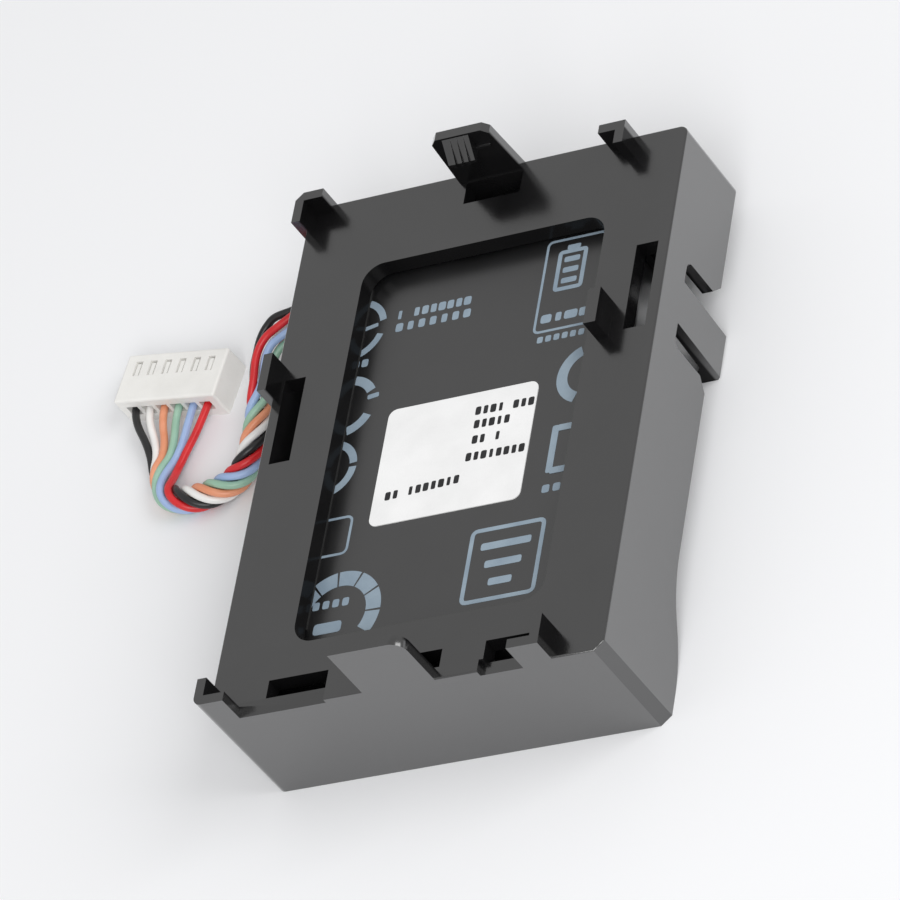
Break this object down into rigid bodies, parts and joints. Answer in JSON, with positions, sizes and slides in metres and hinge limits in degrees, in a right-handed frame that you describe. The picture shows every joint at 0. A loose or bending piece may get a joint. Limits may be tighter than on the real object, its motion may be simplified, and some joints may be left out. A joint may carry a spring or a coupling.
{
  "type": "raid battery module",
  "caption": "Sleeved lithium pack in a black clip-on carrier with a window, edge hooks, a latch and snap arms, and a twisted wire lead that ends in a white plug.",
  "frame": {"origin": "under the middle of the carrier, at its foot", "axes": "+Z out of the window face, +Y towards the latch end, +X to the right seen with the window face up"},
  "size_m": [0.0771, 0.0662, 0.022],
  "materials": {
    "carrier_plastic": "satin-gloss black moulding, grey where it mirrors a white room",
    "cell_can": "drawn can, satin",
    "spacer_plastic": "moulded, matte",
    "nickel_strip": "rolled strip",
    "bead_resin": "dipped resin, gloss",
    "board_laminate": "green solder mask",
    "chip_resin": "moulded resin, matte",
    "solder_tin": "bright solder",
    "sleeve_film": "black shrink film, satin gloss",
    "label_paper": "coated paper, matte",
    "adhesive_foam": "closed-cell foam",
    "insulation_black": "extruded, soft gloss",
    "insulation_white": "extruded, soft gloss",
    "insulation_orange": "extruded, soft gloss",
    "insulation_green": "extruded, soft gloss",
    "insulation_blue": "extruded, soft gloss",
    "insulation_red": "extruded, soft gloss",
    "plug_nylon": "moulded nylon, soft gloss",
    "contact_tin": "tinned strip"
  },
  "bodies": {
    "root": {"carrier": "carrier_plastic", "battery_cell": "cell_can", "end_spacer": "spacer_plastic", "positive_tab": "nickel_strip", "negative_tab": "nickel_strip", "thermistor": "bead_resin", "protection_board": "board_laminate", "gauge_chip": "chip_resin", "switch_transistors": "chip_resin", "sense_resistor": "chip_resin", "board_fuse": "spacer_plastic", "chip_resistors": "chip_resin", "board_leads": "insulation_black", "lead_solder": "solder_tin", "pack_wrap": "sleeve_film", "pack_label": "label_paper", "adhesive_strip_left": "adhesive_foam", "adhesive_strip_right": "adhesive_foam", "wire_bundle": "insulation_black", "connector_housing": "plug_nylon", "crimp_terminals": "contact_tin", "wire_black": "insulation_black", "wire_white": "insulation_white", "wire_orange": "insulation_orange", "wire_green": "insulation_green", "wire_blue": "insulation_blue", "wire_red": "insulation_red"}
  },
  "joints": []
}
